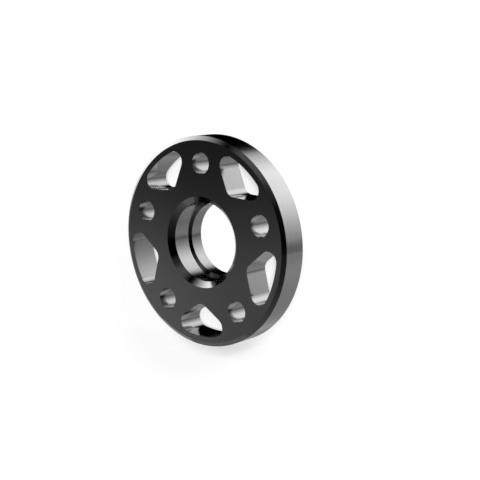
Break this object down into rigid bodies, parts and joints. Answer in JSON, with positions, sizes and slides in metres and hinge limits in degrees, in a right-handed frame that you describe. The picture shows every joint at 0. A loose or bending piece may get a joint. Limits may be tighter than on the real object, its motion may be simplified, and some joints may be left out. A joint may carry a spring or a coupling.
{
  "type": "wheel spacer",
  "caption": "Hub-centric wheel spacer: a black anodised ring with a stepped, chamfered bore, a centring lip, bolt holes and rounded lightening pockets.",
  "frame": {"origin": "on the ring's axis, in the plane of the lip's end, which is what the part lies on", "axes": "+Z along the ring's axis from the lip towards the face that meets the hub; +Y through one bolt hole"},
  "size_m": [0.15, 0.15, 0.03],
  "materials": {
    "black_anodised": "black anodised over fine turning lines, satin"
  },
  "bodies": {
    "root": {"spacer_ring": "black_anodised"}
  },
  "joints": []
}
